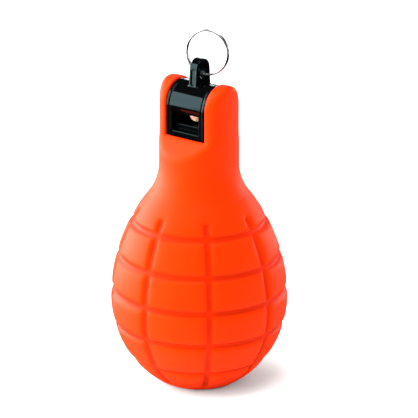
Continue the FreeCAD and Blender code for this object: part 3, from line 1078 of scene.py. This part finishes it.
def area_light(name, place, aim, width, height, power, reach):
    """Rectangular soft light that points from its place at the aim."""
    light = bpy.data.lights.new(name, "AREA")
    light.shape = "RECTANGLE"
    light.size, light.size_y = width, height
    light.energy = power
    obj = bpy.data.objects.new(name, light)
    bpy.context.scene.collection.objects.link(obj)
    obj.location = place
    obj.visible_camera = False
    obj.visible_diffuse = reach != "gloss"
    obj.visible_glossy = reach != "matt"
    obj.rotation_euler = (aim - place).to_track_quat("-Z", "Y").to_euler()


def around(azimuth, elevation, distance, aim):
    """Point seen from the aim in that direction, in degrees; azimuth 0 is the front."""
    a, e = math.radians(azimuth), math.radians(elevation)
    way = Vector((math.sin(a) * math.cos(e), -math.cos(a) * math.cos(e), math.sin(e)))
    return Vector(aim) + way * distance


def studio_world():
    """White surroundings for the eye and for matt surfaces, which reflections leave out."""
    world = bpy.data.worlds.new("studio")
    world.use_nodes = True
    tree = world.node_tree
    seen = tree.nodes.new("ShaderNodeLightPath").outputs["Is Camera Ray"]
    feed(tree, tree.nodes["Background"], {"Strength": calc(tree, "MAXIMUM", seen, 0.72),
                                          "Color": (1, 1, 1, 1)})
    bpy.context.scene.world = world
    world.cycles_visibility.glossy = False


def studio_floor(colours):
    """Matt pale floor with a very faint mottle."""
    made, tree, shader, where = material("studio_floor")
    speck = noise_value(tree, where, 6.0)
    tone = colour_mix(tree, speck, colours.floor, [c * 1.02 for c in colours.floor])
    feed(tree, shader, {"Base Color": tone, "Roughness": 0.9, "Specular IOR Level": 0.1})
    return made


class WHISTLE_OT_stage(bpy.types.Operator):
    """Build the floor, lights and camera"""

    bl_idname = "whistle.stage"
    bl_label = "Stage"

    def execute(self, context):
        scene = context.scene
        studio = scene.studio_sizes
        scene.view_settings.view_transform = "Standard"
        studio_world()
        work = bmesh.new()
        bmesh.ops.create_grid(work, x_segments=2, y_segments=2, size=6.0)
        mesh = bpy.data.meshes.new("floor")
        work.to_mesh(mesh)
        work.free()
        floor = add_object("studio_floor", mesh)
        mesh.materials.append(studio_floor(scene.finish_colours))
        floor.visible_glossy = False
        aim = Vector((0, 0, studio.aim_z))
        for name, azimuth, elevation, distance, width, height, watts, reach in LIGHTS:
            place = around(azimuth, elevation, distance, aim)
            area_light(name, place, aim, width, height, watts, reach)
        right = Vector((math.cos(studio.azimuth), math.sin(studio.azimuth), 0))
        back = around(math.degrees(studio.azimuth), math.degrees(studio.elevation), 1.0,
                      (0, 0, 0))
        up = back.cross(right)
        camera = bpy.data.objects.new("camera", bpy.data.cameras.new("camera"))
        scene.collection.objects.link(camera)
        camera.data.lens = studio.lens
        camera.data.sensor_width = 36.0
        camera.data.clip_start, camera.data.clip_end = 0.01, 30.0
        camera.location = (aim + right * studio.aim_right + up * studio.aim_up
                           + back * studio.distance)
        camera.rotation_euler = (-back).to_track_quat("-Z", "Y").to_euler()
        scene.camera = camera
        return {"FINISHED"}


class WHISTLE_PT_panel(bpy.types.Panel):
    """Lists the pieces of the whistle"""

    bl_label = "Whistle"
    bl_idname = "WHISTLE_PT_panel"
    bl_space_type = "VIEW_3D"
    bl_region_type = "UI"
    bl_category = "Whistle"

    def draw(self, context):
        for operator in OPERATORS:
            self.layout.operator(operator.bl_idname)


SETTINGS = {"bulb_sizes": BulbSizes, "whistle_sizes": WhistleSizes, "ring_sizes": RingSizes,
            "finish_colours": FinishColours, "studio_sizes": StudioSizes}
OPERATORS = (WHISTLE_OT_bulb, WHISTLE_OT_moulding, WHISTLE_OT_cover, WHISTLE_OT_caps,
             WHISTLE_OT_pea, WHISTLE_OT_ring, WHISTLE_OT_stage)


def register():
    for group in SETTINGS.values():
        bpy.utils.register_class(group)
    for name, group in SETTINGS.items():
        setattr(bpy.types.Scene, name, PointerProperty(type=group))
    for operator in OPERATORS:
        bpy.utils.register_class(operator)
    bpy.utils.register_class(WHISTLE_PT_panel)


def unregister():
    bpy.utils.unregister_class(WHISTLE_PT_panel)
    for operator in reversed(OPERATORS):
        bpy.utils.unregister_class(operator)
    for name, group in SETTINGS.items():
        delattr(bpy.types.Scene, name)
        bpy.utils.unregister_class(group)


def main():
    register()
    bpy.ops.whistle.bulb()
    bpy.ops.whistle.moulding()
    bpy.ops.whistle.cover()
    bpy.ops.whistle.caps()
    bpy.ops.whistle.pea()
    bpy.ops.whistle.ring()
    bpy.ops.whistle.stage()


if __name__ == "__main__":
    main()
